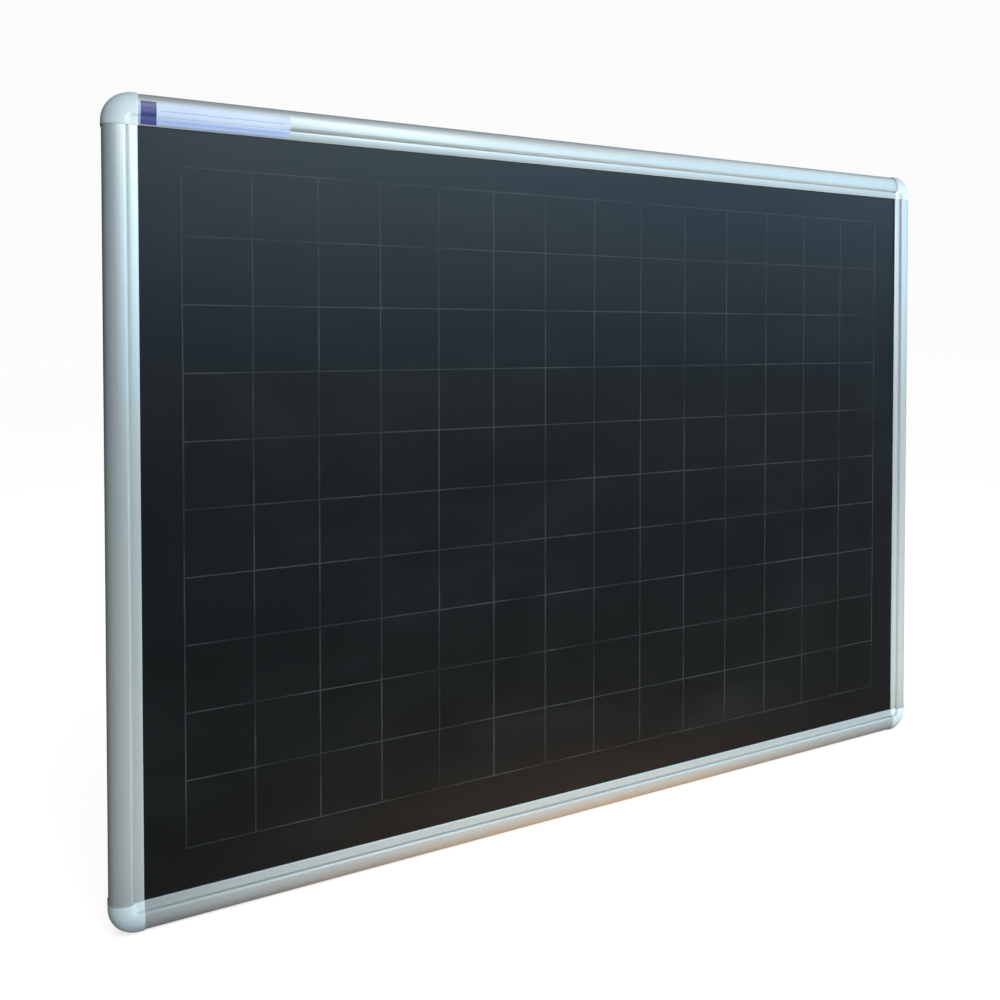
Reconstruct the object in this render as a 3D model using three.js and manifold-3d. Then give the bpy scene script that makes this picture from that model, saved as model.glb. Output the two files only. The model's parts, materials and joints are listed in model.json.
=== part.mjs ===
import * as THREE from "three";
import { mergeVertices } from "three/addons/utils/BufferGeometryUtils.js";
import Module from "manifold-3d";

// A wall-hung chalkboard in an aluminium rail frame with plastic corner caps, in millimetres.
// X runs to the right of someone facing the board, Z runs up, and the writing side faces -Y.
// The origin is the middle of the wall plane that the frame's feet and caps bear on.

// Frame, over the outer sides of its rails
const boardWidth = 805;
const boardHeight = 604;

// Panel, a laminate of three layers
const rearRecess = 7; // from the wall plane to the back of the panel
const backingThickness = 0.4;
const coreThickness = 6;
const sheetThickness = 0.5;
const glueLine = 0.05;

// Rail section
const crownWidth = 16.2;
const crownStep = 2.2; // how far the crown stands above the lip
const crownFall = 8.5; // how far the crown's long outer curve drops to the rail's side
const flankRound = 1.8;
const lipWidth = 7.3;
const lipThickness = 1.5;
const lipFall = 0.9; // how far the lip curves back from its highest line to its inner edge
const shoulderWidth = 2.6; // over which it curves back to the crown's foot
const shoulderFall = 0.8;
const rearLipReach = 5;
const rearLipThickness = 1.2;
const railWall = 1.2;
const footHeight = 2.4;
const footWidth = 2;
const panelPlay = 0.3; // between the panel's faces and the lips
const edgePlay = 0.5; // between the panel's edge and the floor of its channel

// Corner caps
const cornerStraight = 2.5; // straight run between the rounded corner and the seam
const capProud = 0.6;
const capFillet = 1; // between the cap's flank and its lip
const capWall = 1.8;
const capEndWall = 3.5; // between the hollow behind the cap and the seam
const capRib = 1.6;
const seamGap = 0.3;
const tongueLength = 22;
const tonguePlay = 0.3;

// Screws
const screwPlay = 0.25; // around a shank
const seatGap = 0.2; // under a head, and behind whatever is seated on the panel
const railScrew = { shank: 1.45, head: 2.8, headHeight: 1.9, length: 9, tip: 2.5 };
const railScrewInset = 11; // from the rail's end
const hangerScrew = { shank: 1.5, head: 3, headHeight: 1.7, length: 6.5, tip: 2 };
const recessWidth = 0.8; // arm of the cross recess
const recessSpan = 3.4;
const recessDepth = 1.1;

// Hangers
const hangerInset = 122.5; // from the board's outer side to a hanger's middle
const hangerBelowLip = 30.8; // from the top rail's rear lip down to the pivot
const wireRadius = 1.25;
const pivotPlay = 0.2;
const ringWidth = 20; // over the wire's centre line
const ringHeight = 26;
const ringCornerRadius = 3.5;
const ringButtGap = 0.4;
const strapThickness = 0.8;
const strapWidth = 12;
const strapLength = 14; // from the pivot to the strap's end
const strapNeck = 4.5; // from the pivot to where the two layers meet
const strapScrewDrop = 9; // from the pivot to the screw

// Label, a film that follows the top rail's lip and crown
const labelLength = 106;
const labelInset = 1; // from the rail's end
const labelLipMargin = 1; // from the lip's inner edge
const labelCrownReach = 8.1; // how far it runs outwards past the crown's highest line
const labelThickness = 0.15;
const labelGap = 0.05;

// Facets
const arcSteps = 6;
const crownSteps = 10;
const roundSegments = 16;
const cornerSegments = 44; // in a full turn
const wireSides = 8;
const ringSteps = 44;

// Depths, measured forwards from the wall plane
const backingBack = rearRecess;
const coreBack = backingBack + backingThickness + glueLine;
const sheetBack = coreBack + coreThickness + glueLine;
const writingFace = sheetBack + sheetThickness;
const lipBack = writingFace + panelPlay;
const lipFront = lipBack + lipThickness;
const railDepth = lipFront + crownStep;
const rearLipFront = backingBack - panelPlay;
const rearLipBack = rearLipFront - rearLipThickness;

// Widths, measured inwards from a rail's outer side
const railFace = crownWidth + lipWidth;
const lipPeak = crownWidth + shoulderWidth;
const crownPeak = crownWidth - flankRound;
const cornerRadius = railFace - cornerStraight;
const capFlank = crownWidth + capProud;
const panelInset = crownWidth + edgePlay;
const beyond = 2 * railFace; // clear of any one cap
const overlap = 0.01; // where the parts of one piece join

const up = new THREE.Vector3(0, 0, 1);
const right = new THREE.Vector3(1, 0, 0);
const back = new THREE.Vector3(0, 1, 0);
const front = new THREE.Vector3(0, -1, 0);

const wasm = await Module();
wasm.setup();

function solidOf(geometry) {
  const bare = geometry.clone();
  bare.deleteAttribute("normal");
  bare.deleteAttribute("uv");
  const merged = mergeVertices(bare, 1e-4);
  return new wasm.Manifold(
    new wasm.Mesh({
      numProp: 3,
      vertProperties: merged.attributes.position.array,
      triVerts: new Uint32Array(merged.index.array),
    }),
  );
}

function geometryOf(solid) {
  const mesh = solid.getMesh();
  return new THREE.BufferGeometry()
    .setAttribute("position", new THREE.BufferAttribute(mesh.vertProperties, 3))
    .setIndex(new THREE.BufferAttribute(mesh.triVerts, 1));
}

function point(x, y) {
  return new THREE.Vector2(x, y);
}

// Points of an elliptical arc, with its ends, from one angle to another in degrees.
function arc(x, y, radiusX, radiusY, from, to, steps) {
  const [start, end] = [from, to].map(THREE.MathUtils.degToRad);
  return new THREE.EllipseCurve(x, y, radiusX, radiusY, start, end, end < start).getPoints(steps);
}

// A closed outline extruded from 0 to length. Its X and Y go along the two given directions.
function prism(outline, length, xAxis, yAxis, holes = []) {
  const clockwise = THREE.ShapeUtils.isClockWise(outline);
  const shape = new THREE.Shape(clockwise ? [...outline].reverse() : outline);
  shape.holes = holes.map((hole) => new THREE.Path(hole));
  const geometry = new THREE.ExtrudeGeometry(shape, { depth: length, bevelEnabled: false });
  const along = new THREE.Vector3().crossVectors(xAxis, yAxis);
  return geometry.applyMatrix4(new THREE.Matrix4().makeBasis(xAxis, yAxis, along));
}

// A box between two corners.
function block(low, high) {
  const size = high.map((value, i) => value - low[i]);
  const middle = high.map((value, i) => (value + low[i]) / 2);
  return new THREE.BoxGeometry(...size).translate(...middle);
}

// A cylinder along Y between two places.
function rod(radius, fromY, toY) {
  return new THREE.CylinderGeometry(radius, radius, toY - fromY, roundSegments).translate(
    0,
    (fromY + toY) / 2,
    0,
  );
}

function piece(name, geometry, colour, roughness, metalness) {
  const material = new THREE.MeshStandardMaterial({ color: colour, roughness, metalness });
  const mesh = new THREE.Mesh(geometry, material);
  mesh.name = name;
  return mesh;
}

// The crown's front, from the rail's outer side over the peak to the top of the flank. It stands
// off the bare rail by the given offset, which is negative inside the wall.
function crownLine(offset) {
  const outer = arc(
    crownPeak,
    railDepth - crownFall,
    crownPeak + offset,
    crownFall + offset,
    180,
    90,
    crownSteps,
  );
  const inner = arc(
    crownPeak,
    railDepth - flankRound,
    flankRound + offset,
    flankRound + offset,
    90,
    0,
    arcSteps,
  );
  return [...outer, ...inner.slice(1)];
}

// The rail's section: crown, lip, channel for the panel and feet.
function railOutline() {
  return [
    point(0, 0),
    ...crownLine(0),
    ...arc(lipPeak, lipFront - shoulderFall, shoulderWidth, shoulderFall, 180, 90, arcSteps),
    ...arc(lipPeak, lipFront - lipFall, railFace - lipPeak, lipFall, 90, 0, arcSteps).slice(1),
    point(railFace, lipBack),
    point(crownWidth, lipBack),
    point(crownWidth, rearLipFront),
    point(crownWidth + rearLipReach, rearLipFront),
    point(crownWidth + rearLipReach, rearLipBack),
    point(crownWidth, rearLipBack),
    point(crownWidth, 0),
    point(crownWidth - footWidth, 0),
    point(crownWidth - footWidth, footHeight),
    point(footWidth, footHeight),
    point(footWidth, 0),
  ];
}

// The hollow chamber of a rail, drawn in from its walls by some play.
function chamberOutline(play) {
  const inset = railWall + play;
  return [
    point(inset, footHeight + inset),
    ...crownLine(-inset),
    point(crownWidth - inset, footHeight + inset),
  ];
}

// A rail along X, middle at 0, with its width up Z and its front towards -Y.
function railGeometry(length) {
  let rail = solidOf(
    prism(railOutline(), length, up, front, [chamberOutline(0)]).translate(-length / 2, 0, 0),
  );
  for (const side of [-1, 1]) {
    const hole = rod(railScrew.shank + screwPlay, -footHeight - 2 * railWall, 0);
    hole.translate(side * (length / 2 - railScrewInset), 0, crownWidth / 2);
    rail = rail.subtract(solidOf(hole));
  }
  return geometryOf(rail);
}

// A screw along Y: its head's seat is at 0, its shank goes towards -Y.
function screwGeometry({ shank, head, headHeight, length, tip }) {
  const profile = [
    point(0, -length),
    point(shank * 0.25, -length),
    point(shank, tip - length),
    point(shank, 0),
    ...arc(0, 0, head, headHeight, 0, 90, arcSteps),
  ];
  let screw = solidOf(new THREE.LatheGeometry(profile, roundSegments));
  const arm = recessSpan / 2;
  const half = recessWidth / 2;
  const floor = headHeight - recessDepth;
  screw = screw.subtract(solidOf(block([-arm, floor, -half], [arm, head, half])));
  screw = screw.subtract(solidOf(block([-half, floor, -arm], [half, head, arm])));
  return geometryOf(screw);
}

// A solid of revolution about the middle of the rounded corner, whose profile runs outwards from
// that middle and forwards from the wall.
function cornerTurning(profile) {
  return solidOf(
    new THREE.LatheGeometry(profile, cornerSegments)
      .rotateX(Math.PI)
      .translate(cornerRadius, 0, cornerRadius),
  );
}

// The part of a corner that the curve reaches: between the outer sides and the curve's middle,
// less a margin at each end.
function cornerQuarter(margin) {
  const end = cornerRadius - margin;
  return solidOf(block([-beyond, -beyond, -beyond], [end, beyond, end]));
}

// A section that runs along both of a corner's legs, from one distance to another.
function bothLegs(outline, from, to) {
  return [
    solidOf(prism(outline, to - from, up, front).translate(from, 0, 0)),
    solidOf(prism(outline, to - from, right, front).translate(0, 0, to)),
  ];
}

// The front of a cap: crown, flank and the fillet that runs out on the lip.
function capLine() {
  const [x, y] = [capFlank + capFillet, lipFront + capFillet];
  return [...crownLine(capProud), ...arc(x, y, capFillet, capFillet, 180, 270, arcSteps)];
}

// A cap at the corner where X and Z are 0 on the rails' outer sides.
function capGeometry() {
  const section = [
    point(-capProud, 0),
    ...capLine(),
    point(railFace, lipFront),
    point(railFace, 0),
  ];
  const turned = capLine()
    .concat(point(cornerRadius, lipFront))
    .map(({ x, y }) => point(cornerRadius - x, y));
  let cap = cornerTurning([
    point(0, 0),
    point(cornerRadius + capProud, 0),
    ...turned,
  ]).intersect(cornerQuarter(0));

  // Short straight legs, and the square of lip between them
  const legStart = cornerRadius - overlap;
  const legs = bothLegs(section, legStart, railFace);
  legs.push(solidOf(block([legStart, -lipFront, legStart], [railFace, 0, railFace])));

  // Pockets for the panel's corner and, behind it, around the rear lip
  const pockets = [
    block([crownWidth, -lipBack, crownWidth], [beyond, -rearLipFront, beyond]),
    block([crownWidth, -rearLipBack, crownWidth], [beyond, beyond, beyond]),
    block(
      [crownWidth + rearLipReach, -lipBack, crownWidth + rearLipReach],
      [beyond, beyond, beyond],
    ),
  ];

  // The hollow behind the crown, with a rib across it
  const hollowStart = (cornerRadius - crownWidth) * Math.SQRT2 + capWall;
  const roofMiddle = cornerRadius - crownPeak;
  const roofRadius = crownPeak + capProud - capWall;
  const roofAngle = THREE.MathUtils.radToDeg(Math.acos((hollowStart - roofMiddle) / roofRadius));
  const hollow = cornerTurning([
    point(hollowStart, -railWall),
    point(roofMiddle + roofRadius, -railWall),
    ...arc(
      roofMiddle,
      railDepth - crownFall,
      roofRadius,
      crownFall + capProud - capWall,
      0,
      roofAngle,
      arcSteps,
    ),
    point(hollowStart, -railWall),
  ]).intersect(cornerQuarter(capEndWall - cornerStraight));
  const rib = block([-beyond, -beyond, -capRib / 2], [beyond, beyond, capRib / 2])
    .rotateY(-Math.PI / 4)
    .translate(cornerRadius, 0, cornerRadius);

  // A tongue on each leg, with its screw's blind hole
  const root = railFace - cornerStraight / 2;
  const tongues = bothLegs(chamberOutline(tonguePlay), root, railFace + tongueLength);
  const holeAlong = railFace + seamGap + railScrewInset;
  const holes = [
    [holeAlong, crownWidth / 2],
    [crownWidth / 2, holeAlong],
  ].map(([x, z]) => {
    const hole = rod(railScrew.shank + screwPlay, -footHeight - railScrew.length - 1, 0);
    return solidOf(hole.translate(x, 0, z));
  });

  for (const leg of legs) cap = cap.add(leg);
  for (const pocket of pockets) cap = cap.subtract(solidOf(pocket));
  cap = cap.subtract(hollow.subtract(solidOf(rib)));
  for (const tongue of tongues) cap = cap.add(tongue);
  for (const hole of holes) cap = cap.subtract(hole);
  return geometryOf(cap);
}

// The label's section: its near and far faces along lip, flank and crown.
function labelOutline() {
  const face = (offset) => {
    const reach = labelCrownReach / (crownPeak + offset);
    const end = 90 + THREE.MathUtils.radToDeg(Math.asin(Math.min(reach, 1)));
    const lipReach = railFace - lipPeak + offset;
    const lipEnd = (railFace - labelLipMargin - lipPeak) / lipReach;
    const start = THREE.MathUtils.radToDeg(Math.acos(lipEnd));
    return [
      ...arc(lipPeak, lipFront - lipFall, lipReach, lipFall + offset, start, 90, arcSteps),
      point(crownWidth + offset, lipFront + offset),
      ...arc(
        crownPeak,
        railDepth - flankRound,
        flankRound + offset,
        flankRound + offset,
        0,
        90,
        arcSteps,
      ),
      ...arc(
        crownPeak,
        railDepth - crownFall,
        crownPeak + offset,
        crownFall + offset,
        90,
        end,
        crownSteps,
      ).slice(1),
    ];
  };
  return [...face(labelGap).reverse(), ...face(labelGap + labelThickness)];
}

// The strap: sheet folded round the wire, its two layers lying together below the pivot.
function strapGeometry() {
  const bore = wireRadius + pivotPlay;
  const eye = bore + strapThickness;
  const legs = 2 * strapThickness;
  const outline = [
    point(0, -strapLength),
    ...arc(eye, 0, eye, eye, 180, -40, 2 * crownSteps),
    point(legs, -strapNeck),
    point(legs, -strapLength),
  ];
  const eyeHole = arc(eye, 0, bore, bore, 0, 360, roundSegments).slice(1);
  const folded = prism(outline, strapWidth, back, up, [eyeHole]).translate(-strapWidth / 2, 0, 0);

  const halfWidth = strapWidth / 2;
  const plan = [
    point(halfWidth, eye),
    point(-halfWidth, eye),
    ...arc(0, halfWidth - strapLength, halfWidth, halfWidth, 180, 360, 2 * crownSteps),
  ];
  const rounded = prism(plan, 4 * eye, right, up).translate(0, 3 * eye, 0);
  const screwHole = rod(hangerScrew.shank + screwPlay, -eye, 3 * eye);
  screwHole.translate(0, 0, -strapScrewDrop);
  return geometryOf(
    solidOf(folded).intersect(solidOf(rounded)).subtract(solidOf(screwHole)),
  );
}

// The ring: wire bent to a D whose flat side turns in the strap, its ends meeting there. The
// pivot is at 0 and the ring hangs down.
function ringGeometry() {
  const half = ringWidth / 2;
  const corner = half - ringCornerRadius;
  const bend = half - ringHeight;
  const line = new THREE.Path()
    .moveTo(ringButtGap / 2, 0)
    .lineTo(corner, 0)
    .absarc(corner, -ringCornerRadius, ringCornerRadius, Math.PI / 2, 0, true)
    .lineTo(half, bend)
    .absarc(0, bend, half, 0, -Math.PI, true)
    .lineTo(-half, -ringCornerRadius)
    .absarc(-corner, -ringCornerRadius, ringCornerRadius, Math.PI, Math.PI / 2, true)
    .lineTo(-ringButtGap / 2, 0);
  const centre = line.getSpacedPoints(ringSteps).map(({ x, y }) => new THREE.Vector3(x, 0, y));
  const extrudePath = new THREE.CatmullRomCurve3(centre);
  const section = new THREE.Shape(arc(0, 0, wireRadius, wireRadius, 0, 360, wireSides).slice(1));
  return new THREE.ExtrudeGeometry(section, { steps: ringSteps, extrudePath, bevelEnabled: false });
}

function layer(name, thickness, depth, holePlaces, colour, roughness, metalness) {
  const size = [boardWidth - 2 * panelInset, thickness, boardHeight - 2 * panelInset];
  let solid = solidOf(new THREE.BoxGeometry(...size));
  for (const [x, z] of holePlaces) {
    const hole = rod(hangerScrew.shank + screwPlay, -thickness, thickness).translate(x, 0, z);
    solid = solid.subtract(solidOf(hole));
  }
  const mesh = piece(name, geometryOf(solid), colour, roughness, metalness);
  mesh.position.y = -depth - thickness / 2;
  return mesh;
}

const board = new THREE.Group();

// Each side of the frame is a rail, the cap at its start and the screws at its two ends, built
// along the bottom and turned round the board's middle.
const sides = [
  { rail: "bottom", cap: "bottom_left", turn: 0, length: boardWidth, across: boardHeight },
  { rail: "right", cap: "bottom_right", turn: -90, length: boardHeight, across: boardWidth },
  { rail: "top", cap: "top_right", turn: 180, length: boardWidth, across: boardHeight },
  { rail: "left", cap: "top_left", turn: 90, length: boardHeight, across: boardWidth },
];
const sideGroups = {};
for (const { rail, cap, turn, length, across } of sides) {
  const side = new THREE.Group();
  side.rotation.y = THREE.MathUtils.degToRad(turn);
  const railLength = length - 2 * (railFace + seamGap);
  const railMesh = piece(`${rail}_rail`, railGeometry(railLength), 0xb9c3c9, 0.38, 0.9);
  railMesh.position.z = -across / 2;
  const capMesh = piece(`${cap}_cap`, capGeometry(), 0xd3dcdb, 0.55, 0);
  capMesh.position.set(-length / 2, 0, -across / 2);
  side.add(railMesh, capMesh);
  for (const [end, sign] of [["first", -1], ["second", 1]]) {
    const screw = piece(`${rail}_rail_${end}_screw`, screwGeometry(railScrew), 0xa9abad, 0.35, 1);
    const along = sign * (railLength / 2 - railScrewInset);
    screw.position.set(along, seatGap - footHeight, crownWidth / 2 - across / 2);
    side.add(screw);
  }
  board.add(side);
  sideGroups[rail] = side;
}

const labelMesh = piece(
  "blank_label",
  prism(labelOutline(), labelLength, up, front),
  0xcfcfe6,
  0.3,
  0,
);
labelMesh.position.set(
  boardWidth / 2 - railFace - seamGap - labelInset - labelLength,
  0,
  -boardHeight / 2,
);
sideGroups.top.add(labelMesh);

// Hangers on the back of the panel
const pivotHeight = boardHeight / 2 - crownWidth - rearLipReach - hangerBelowLip;
const pivotDepth = rearRecess - seatGap - wireRadius - pivotPlay - strapThickness;
const hangerReach = boardWidth / 2 - hangerInset;
const screwPlaces = [-1, 1].map((side) => [side * hangerReach, pivotHeight - strapScrewDrop]);

board.add(
  layer("writing_sheet", sheetThickness, sheetBack, [], 0x23272b, 0.42, 0.1),
  layer("core_board", coreThickness, coreBack, screwPlaces, 0x8a6a48, 0.85, 0),
  layer("backing_sheet", backingThickness, backingBack, screwPlaces, 0xa7adb0, 0.45, 0.9),
);

for (const [side, sign] of [["left", -1], ["right", 1]]) {
  const hanger = new THREE.Group();
  hanger.position.set(sign * hangerReach, 0, pivotHeight);
  const strap = piece(`${side}_hanger_strap`, strapGeometry(), 0xb4b6b8, 0.35, 1);
  strap.position.y = seatGap - rearRecess;
  const ring = piece(`${side}_hanger_ring`, ringGeometry(), 0xbfc1c2, 0.28, 1);
  ring.position.y = -pivotDepth;
  const screw = piece(`${side}_hanger_screw`, screwGeometry(hangerScrew), 0xa9abad, 0.35, 1);
  screw.position.set(0, 2 * seatGap + 2 * strapThickness - rearRecess, -strapScrewDrop);
  hanger.add(strap, ring, screw);
  board.add(hanger);
}

export default board;
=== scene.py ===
import json
import math

import bmesh
import bpy
from mathutils import Matrix, Vector


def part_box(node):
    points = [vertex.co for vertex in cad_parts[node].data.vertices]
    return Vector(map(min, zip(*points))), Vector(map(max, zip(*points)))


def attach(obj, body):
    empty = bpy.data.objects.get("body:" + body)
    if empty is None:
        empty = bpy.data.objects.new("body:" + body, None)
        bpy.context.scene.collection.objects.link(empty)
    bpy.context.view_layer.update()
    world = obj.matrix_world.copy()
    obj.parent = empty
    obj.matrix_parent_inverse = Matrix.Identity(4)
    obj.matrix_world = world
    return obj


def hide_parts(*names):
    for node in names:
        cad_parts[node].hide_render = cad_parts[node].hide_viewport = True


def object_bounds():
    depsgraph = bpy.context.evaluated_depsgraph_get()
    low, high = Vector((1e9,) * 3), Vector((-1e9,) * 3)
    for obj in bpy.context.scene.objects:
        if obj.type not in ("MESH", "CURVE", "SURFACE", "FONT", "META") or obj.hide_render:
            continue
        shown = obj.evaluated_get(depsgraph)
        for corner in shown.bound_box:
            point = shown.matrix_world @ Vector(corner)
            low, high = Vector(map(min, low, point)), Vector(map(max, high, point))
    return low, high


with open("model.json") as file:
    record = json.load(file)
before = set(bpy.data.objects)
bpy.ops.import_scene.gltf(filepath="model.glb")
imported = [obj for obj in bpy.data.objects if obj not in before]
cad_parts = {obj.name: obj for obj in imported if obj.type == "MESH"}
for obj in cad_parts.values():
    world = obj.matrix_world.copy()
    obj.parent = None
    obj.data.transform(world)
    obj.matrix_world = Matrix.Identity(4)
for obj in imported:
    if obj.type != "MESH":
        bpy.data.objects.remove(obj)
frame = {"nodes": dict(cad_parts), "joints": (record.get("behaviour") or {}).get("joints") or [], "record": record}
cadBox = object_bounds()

# A wall-hung chalkboard: X to the right of someone facing it, Z up, the writing side facing -Y.
# The wall plane is Y = 0. Lengths are in metres, written in millimetres where that reads better.
mm = 0.001
quarterTurn = math.pi / 2

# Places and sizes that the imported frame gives
railLow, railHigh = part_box("bottom_rail")
sideLow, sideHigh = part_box("left_rail")
boardWidth = -2 * sideLow.x
boardHeight = -2 * railLow.z
railDepth = -railLow.y
railFace = railHigh.z - railLow.z
capProud = railLow.z - cadBox[0].z
writingFace = -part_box("writing_sheet")[0].y
backingBack = -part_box("backing_sheet")[1].y


# Operators work on everything that is selected, so each step starts from nothing selected.
def deselectAll():
    bpy.ops.object.select_all(action="DESELECT")


def makeActive(piece):
    deselectAll()
    bpy.context.view_layer.objects.active = piece
    piece.select_set(True)


def startEditing(piece):
    makeActive(piece)
    bpy.ops.object.mode_set(mode="EDIT")


def stopEditing():
    bpy.ops.object.mode_set(mode="OBJECT")


# Selects the faces of the mesh in edit mode that lie in a plane across one axis, all of them or
# only those whose middle lies beyond a place along X.
def pickFaces(axis, value, beyond=-math.inf, slack=0.001 * mm):
    bpy.ops.mesh.select_mode(type="FACE")
    bpy.ops.mesh.select_all(action="DESELECT")
    mesh = bmesh.from_edit_mesh(bpy.context.object.data)
    for face in mesh.faces:
        flat = all(abs(vertex.co[axis] - value) < slack for vertex in face.verts)
        if flat and face.calc_center_median().x > beyond:
            face.select_set(True)
    mesh.select_flush_mode()
    bmesh.update_edit_mesh(bpy.context.object.data)


def weld(reach=0.002 * mm):
    bpy.ops.mesh.select_mode(type="VERT")
    bpy.ops.mesh.select_all(action="SELECT")
    bpy.ops.mesh.remove_doubles(threshold=reach)
    bpy.ops.mesh.normals_make_consistent(inside=False)


def extrude(by):
    bpy.ops.mesh.extrude_region_move(TRANSFORM_OT_translate={"value": by})


# Puts a piece's place into its mesh, so that its object sits at the origin.
def settle(piece):
    makeActive(piece)
    bpy.ops.object.transform_apply(location=True, rotation=True, scale=True)
    return piece


# Draws a line through points by extruding one vertex, and stays in edit mode.
def drawLine(name, points):
    deselectAll()
    bpy.ops.mesh.primitive_plane_add(size=1 * mm)
    line = bpy.context.object
    line.name = name
    line.data.name = name
    bpy.ops.object.mode_set(mode="EDIT")
    bpy.ops.mesh.select_mode(type="VERT")
    bpy.ops.mesh.merge(type="CENTER")
    bpy.ops.transform.translate(value=points[0])
    for here, there in zip(points, points[1:]):
        extrude(there - here)
    return line


# Draws a closed outline and fills it, and stays in edit mode with the face selected.
def drawFace(name, points):
    face = drawLine(name, points + points[:1])
    weld()
    bpy.ops.mesh.edge_face_add()
    return face


def prism(name, points, along):
    solid = drawFace(name, points)
    extrude(along)
    weld()
    stopEditing()
    return solid


# A profile that starts and ends on the Y axis, turned all the way round it.
def turning(name, profile, steps):
    solid = drawLine(name, [Vector((x, y, 0)) for x, y in profile])
    bpy.ops.mesh.select_all(action="SELECT")
    bpy.ops.mesh.spin(steps=steps, angle=4 * quarterTurn, center=(0, 0, 0), axis=(0, 1, 0))
    weld()
    stopEditing()
    return solid


def blockBetween(name, low, high):
    low, high = Vector(low), Vector(high)
    deselectAll()
    bpy.ops.mesh.primitive_cube_add(size=1, location=(low + high) / 2, scale=high - low)
    block = bpy.context.object
    block.name = name
    return settle(block)


def addModifier(piece, kind):
    makeActive(piece)
    bpy.ops.object.modifier_add(type=kind)
    return piece.modifiers[-1]


def applyNewest(piece):
    bpy.ops.object.modifier_apply(modifier=piece.modifiers[-1].name)


# Cuts, joins or keeps what is shared between a piece and a tool, which is used up.
def combine(piece, tool, how):
    joint = addModifier(piece, "BOOLEAN")
    joint.operation = how
    joint.object = tool
    joint.solver = "EXACT"
    applyNewest(piece)
    bpy.data.objects.remove(tool)


# A round hole along Y.
def drill(piece, radius, x, z, fromY, toY, sides=32):
    deselectAll()
    bpy.ops.mesh.primitive_cylinder_add(
        vertices=sides, radius=radius, depth=toY - fromY,
        location=(x, (fromY + toY) / 2, z), rotation=(quarterTurn, 0, 0),
    )
    combine(piece, settle(bpy.context.object), "DIFFERENCE")


def soften(piece, width, segments=2, angle=40):
    bevel = addModifier(piece, "BEVEL")
    bevel.width = width
    bevel.segments = segments
    bevel.limit_method = "ANGLE"
    bevel.angle_limit = math.radians(angle)
    bevel.use_clamp_overlap = True
    applyNewest(piece)


# A line drawn out to a sheet, with half of its thickness on each side.
def ribbon(name, points, along, thickness):
    piece = drawLine(name, points)
    bpy.ops.mesh.select_all(action="SELECT")
    extrude(along)
    weld()
    stopEditing()
    sheet = addModifier(piece, "SOLIDIFY")
    sheet.thickness = thickness
    sheet.offset = 0
    sheet.use_even_offset = True
    applyNewest(piece)
    return piece


def smooth(piece, angle=32):
    makeActive(piece)
    bpy.ops.object.shade_smooth_by_angle(angle=math.radians(angle))


# A copy with its own mesh, turned about the middle of the board and then moved.
def placedCopy(piece, name, turn, move):
    makeActive(piece)
    bpy.ops.object.duplicate()
    copy = bpy.context.object
    copy.name = name
    copy.data.name = name
    copy.matrix_world = Matrix.Translation(move) @ Matrix.Rotation(turn, 4, "Y")
    return settle(copy)


# A piece is named after its node: bottom_left_cap is bottomLeftCap.
def pieceName(node):
    first, *rest = node.split("_")
    return first + "".join(word.capitalize() for word in rest)


# Hands a finished piece over: its finish, the body that it moves with and the node that it shows.
def finishPiece(piece, body, node, material):
    piece.data.materials.clear()
    piece.data.materials.append(material)
    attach(piece, body)
    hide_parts(node)


# Points of an elliptical arc between two angles in degrees, with both ends.
def arcPoints(x, y, radiusX, radiusY, start, end, steps):
    angles = [math.radians(start + (end - start) * i / steps) for i in range(steps + 1)]
    return [(x + radiusX * math.cos(a), y + radiusY * math.sin(a)) for a in angles]


print("Camera")
camera = {
    "place": (-0.4147, -0.6875, 0.1265),
    "turn": (88.832, 0.015, -25.463),  # degrees about X, Y and Z
    "focalLength": 31.45,
    "sensorWidth": 36,
    "shiftY": -0.1427,
    "nearestSeen": 0.01,
}


def addCamera():
    deselectAll()
    turn = [math.radians(angle) for angle in camera["turn"]]
    bpy.ops.object.camera_add(location=camera["place"], rotation=turn)
    view = bpy.context.object
    view.data.sensor_width = camera["sensorWidth"]
    view.data.lens = camera["focalLength"]
    view.data.shift_y = camera["shiftY"]
    view.data.clip_start = camera["nearestSeen"]
    bpy.context.scene.camera = view


addCamera()

print("Shared effects")


# Sets a socket to a value, or links it to what feeds it.
def feed(tree, value, socket):
    if isinstance(value, bpy.types.NodeSocket):
        tree.links.new(value, socket)
    elif socket.type == "RGBA":
        socket.default_value = (*value, 1)
    else:
        socket.default_value = value


def feedAll(tree, node, sockets):
    for name, value in sockets.items():
        feed(tree, value, node.inputs[name])


def addNode(tree, kind, sockets=None, **settings):
    node = tree.nodes.new(kind)
    for name, value in settings.items():
        setattr(node, name, value)
    feedAll(tree, node, sockets or {})
    return node


def maths(tree, operation, *values):
    return addNode(tree, "ShaderNodeMath", dict(enumerate(values)), operation=operation).outputs[0]


# Maps a value from one range to another, clamped, with soft ends if asked.
def ranged(tree, value, low, high, toLow=0.0, toHigh=1.0, soft=False):
    sockets = {"Value": value, "From Min": low, "From Max": high, "To Min": toLow, "To Max": toHigh}
    kind = "SMOOTHSTEP" if soft else "LINEAR"
    node = addNode(tree, "ShaderNodeMapRange", sockets, interpolation_type=kind)
    return node.outputs["Result"]


def between(tree, value, low, high):
    return maths(tree, "MULTIPLY", maths(tree, "GREATER_THAN", value, low),
                 maths(tree, "LESS_THAN", value, high))


def mixColours(tree, factor, first, second):
    sockets = {"Factor": factor, "A": first, "B": second}
    return addNode(tree, "ShaderNodeMix", sockets, data_type="RGBA").outputs["Result"]


# Lays a colour over a shade, where a mask says, and only a share of it.
def layOver(tree, shade, mask, colour, share):
    return mixColours(tree, maths(tree, "MULTIPLY", mask, share), shade, colour)


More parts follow.
